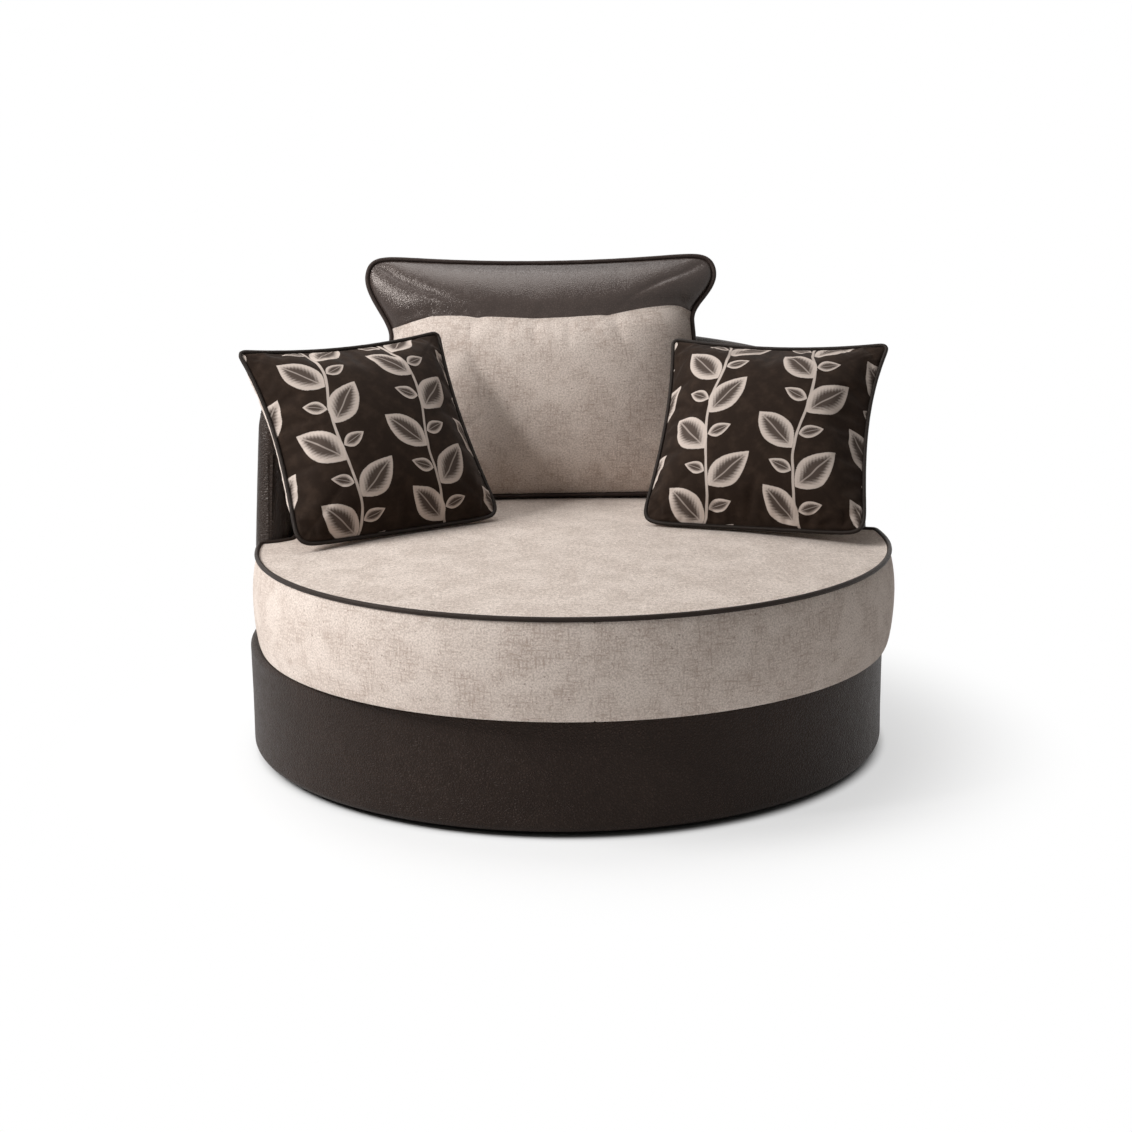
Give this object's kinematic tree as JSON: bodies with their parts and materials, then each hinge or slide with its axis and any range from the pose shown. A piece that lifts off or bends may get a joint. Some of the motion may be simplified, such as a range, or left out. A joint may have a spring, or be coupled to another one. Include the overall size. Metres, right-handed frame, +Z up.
{
  "type": "round swivel chair",
  "caption": "Round swivel chair on a leather drum, with a thick seat cushion, curved back shell, loose back cushion and scatter pillows",
  "frame": {"origin": "on the floor at the swivel axis, in the middle of the underside of the centre glide", "axes": "+Z up along the swivel axis, -Y the way the sitter faces, +X to the sitter's left hand, seen from the front on the right"},
  "size_m": [1.1999, 1.2149, 0.8604],
  "materials": {
    "black_plastic": "satin",
    "plywood": "matte",
    "timber": "matte",
    "zinc_steel": "satin",
    "bright_steel": "polished",
    "black_cloth": "matte",
    "foam": "matte",
    "cushion_fibre": "matte",
    "brown_leather": "satin",
    "piping_leather": "satin",
    "webbing": "matte",
    "cream_chenille": "matte",
    "leaf_print": "matte",
    "zip_metal": "satin",
    "zip_slider_metal": "polished"
  },
  "bodies": {
    "base": {"glides": "black_plastic", "plinth_board": "plywood", "swivel_lower_plate": "zinc_steel", "lower_plate_screws": "bright_steel"},
    "ball_ring": {"swivel_balls": "bright_steel", "ball_cage": "black_plastic"},
    "chair_frame": {"swivel_upper_plate": "zinc_steel", "upper_plate_bolts": "bright_steel", "cross_rails": "timber", "bottom_ring": "plywood", "dust_cover": "black_cloth", "drum_posts": "timber", "top_ring": "plywood", "drum_panel": "plywood", "drum_foam": "foam", "drum_cover": "brown_leather", "webbing_lengthwise": "webbing", "webbing_crosswise": "webbing", "deck_cloth": "black_cloth", "back_bottom_rail": "plywood", "back_posts": "timber", "back_top_rail": "plywood", "back_inner_panel": "plywood", "back_outer_panel": "plywood", "back_frame_bolts": "bright_steel", "back_foam": "foam", "back_cover": "brown_leather"},
    "seat_cushion": {"seat_foam": "foam", "seat_top_panel": "cream_chenille", "seat_border": "cream_chenille", "seat_underside": "cream_chenille", "seat_piping": "piping_leather", "seat_zip": "zip_metal"},
    "seat_zip_runner": {"seat_zip_slider": "zip_slider_metal"},
    "back_cushion": {"back_cushion_fill": "cushion_fibre", "back_cushion_head": "brown_leather", "back_cushion_front": "cream_chenille", "back_cushion_reverse": "cream_chenille", "back_cushion_piping": "piping_leather", "back_cushion_zip": "zip_metal"},
    "back_cushion_zip_runner": {"back_cushion_zip_slider": "zip_slider_metal"},
    "left_pillow": {"left_pillow_fill": "cushion_fibre", "left_pillow_front": "leaf_print", "left_pillow_reverse": "cream_chenille", "left_pillow_piping": "piping_leather", "left_pillow_zip": "zip_metal"},
    "left_pillow_zip_runner": {"left_pillow_zip_slider": "zip_slider_metal"},
    "right_pillow": {"right_pillow_fill": "cushion_fibre", "right_pillow_front": "leaf_print", "right_pillow_reverse": "cream_chenille", "right_pillow_piping": "piping_leather", "right_pillow_zip": "zip_metal"},
    "right_pillow_zip_runner": {"right_pillow_zip_slider": "zip_slider_metal"}
  },
  "joints": [
    {"name": "seat_swivel", "type": "hinge", "parent": "base", "child": "chair_frame", "pos_m": [0, 0, 0.035], "axis": [0, 0, 1], "continuous": true},
    {"name": "ball_ring_roll", "type": "hinge", "parent": "base", "child": "ball_ring", "pos_m": [0, 0, 0.035], "axis": [0, 0, 1], "continuous": true},
    {"name": "seat_cushion_lift", "type": "slide", "parent": "chair_frame", "child": "seat_cushion", "axis": [0, 0, 1], "range_m": [0, 0.52]},
    {"name": "seat_zip_run", "type": "hinge", "parent": "seat_cushion", "child": "seat_zip_runner", "pos_m": [0, 0, 0.228], "axis": [0, 0, 1], "range_deg": [0, 107]},
    {"name": "back_cushion_lift", "type": "slide", "parent": "seat_cushion", "child": "back_cushion", "axis": [0, 0, 1], "range_m": [0, 0.36]},
    {"name": "back_zip_run", "type": "slide", "parent": "back_cushion", "child": "back_cushion_zip_runner", "axis": [0.9994, -0.0349, 0], "range_m": [0, 0.435]},
    {"name": "left_pillow_lift", "type": "slide", "parent": "back_cushion", "child": "left_pillow", "axis": [0, 0, 1], "range_m": [0, 0.5]},
    {"name": "left_pillow_zip_run", "type": "slide", "parent": "left_pillow", "child": "left_pillow_zip_runner", "axis": [0.888, 0.4592, 0.0216], "range_m": [0, 0.275]},
    {"name": "right_pillow_lift", "type": "slide", "parent": "back_cushion", "child": "right_pillow", "axis": [0, 0, 1], "range_m": [0, 0.5]},
    {"name": "right_pillow_zip_run", "type": "slide", "parent": "right_pillow", "child": "right_pillow_zip_runner", "axis": [0.9336, -0.3584, 0], "range_m": [0, 0.275]}
  ],
  "couplings": [
    {"joint": "ball_ring_roll", "follows": "seat_swivel", "ratio": 0.5}
  ]
}
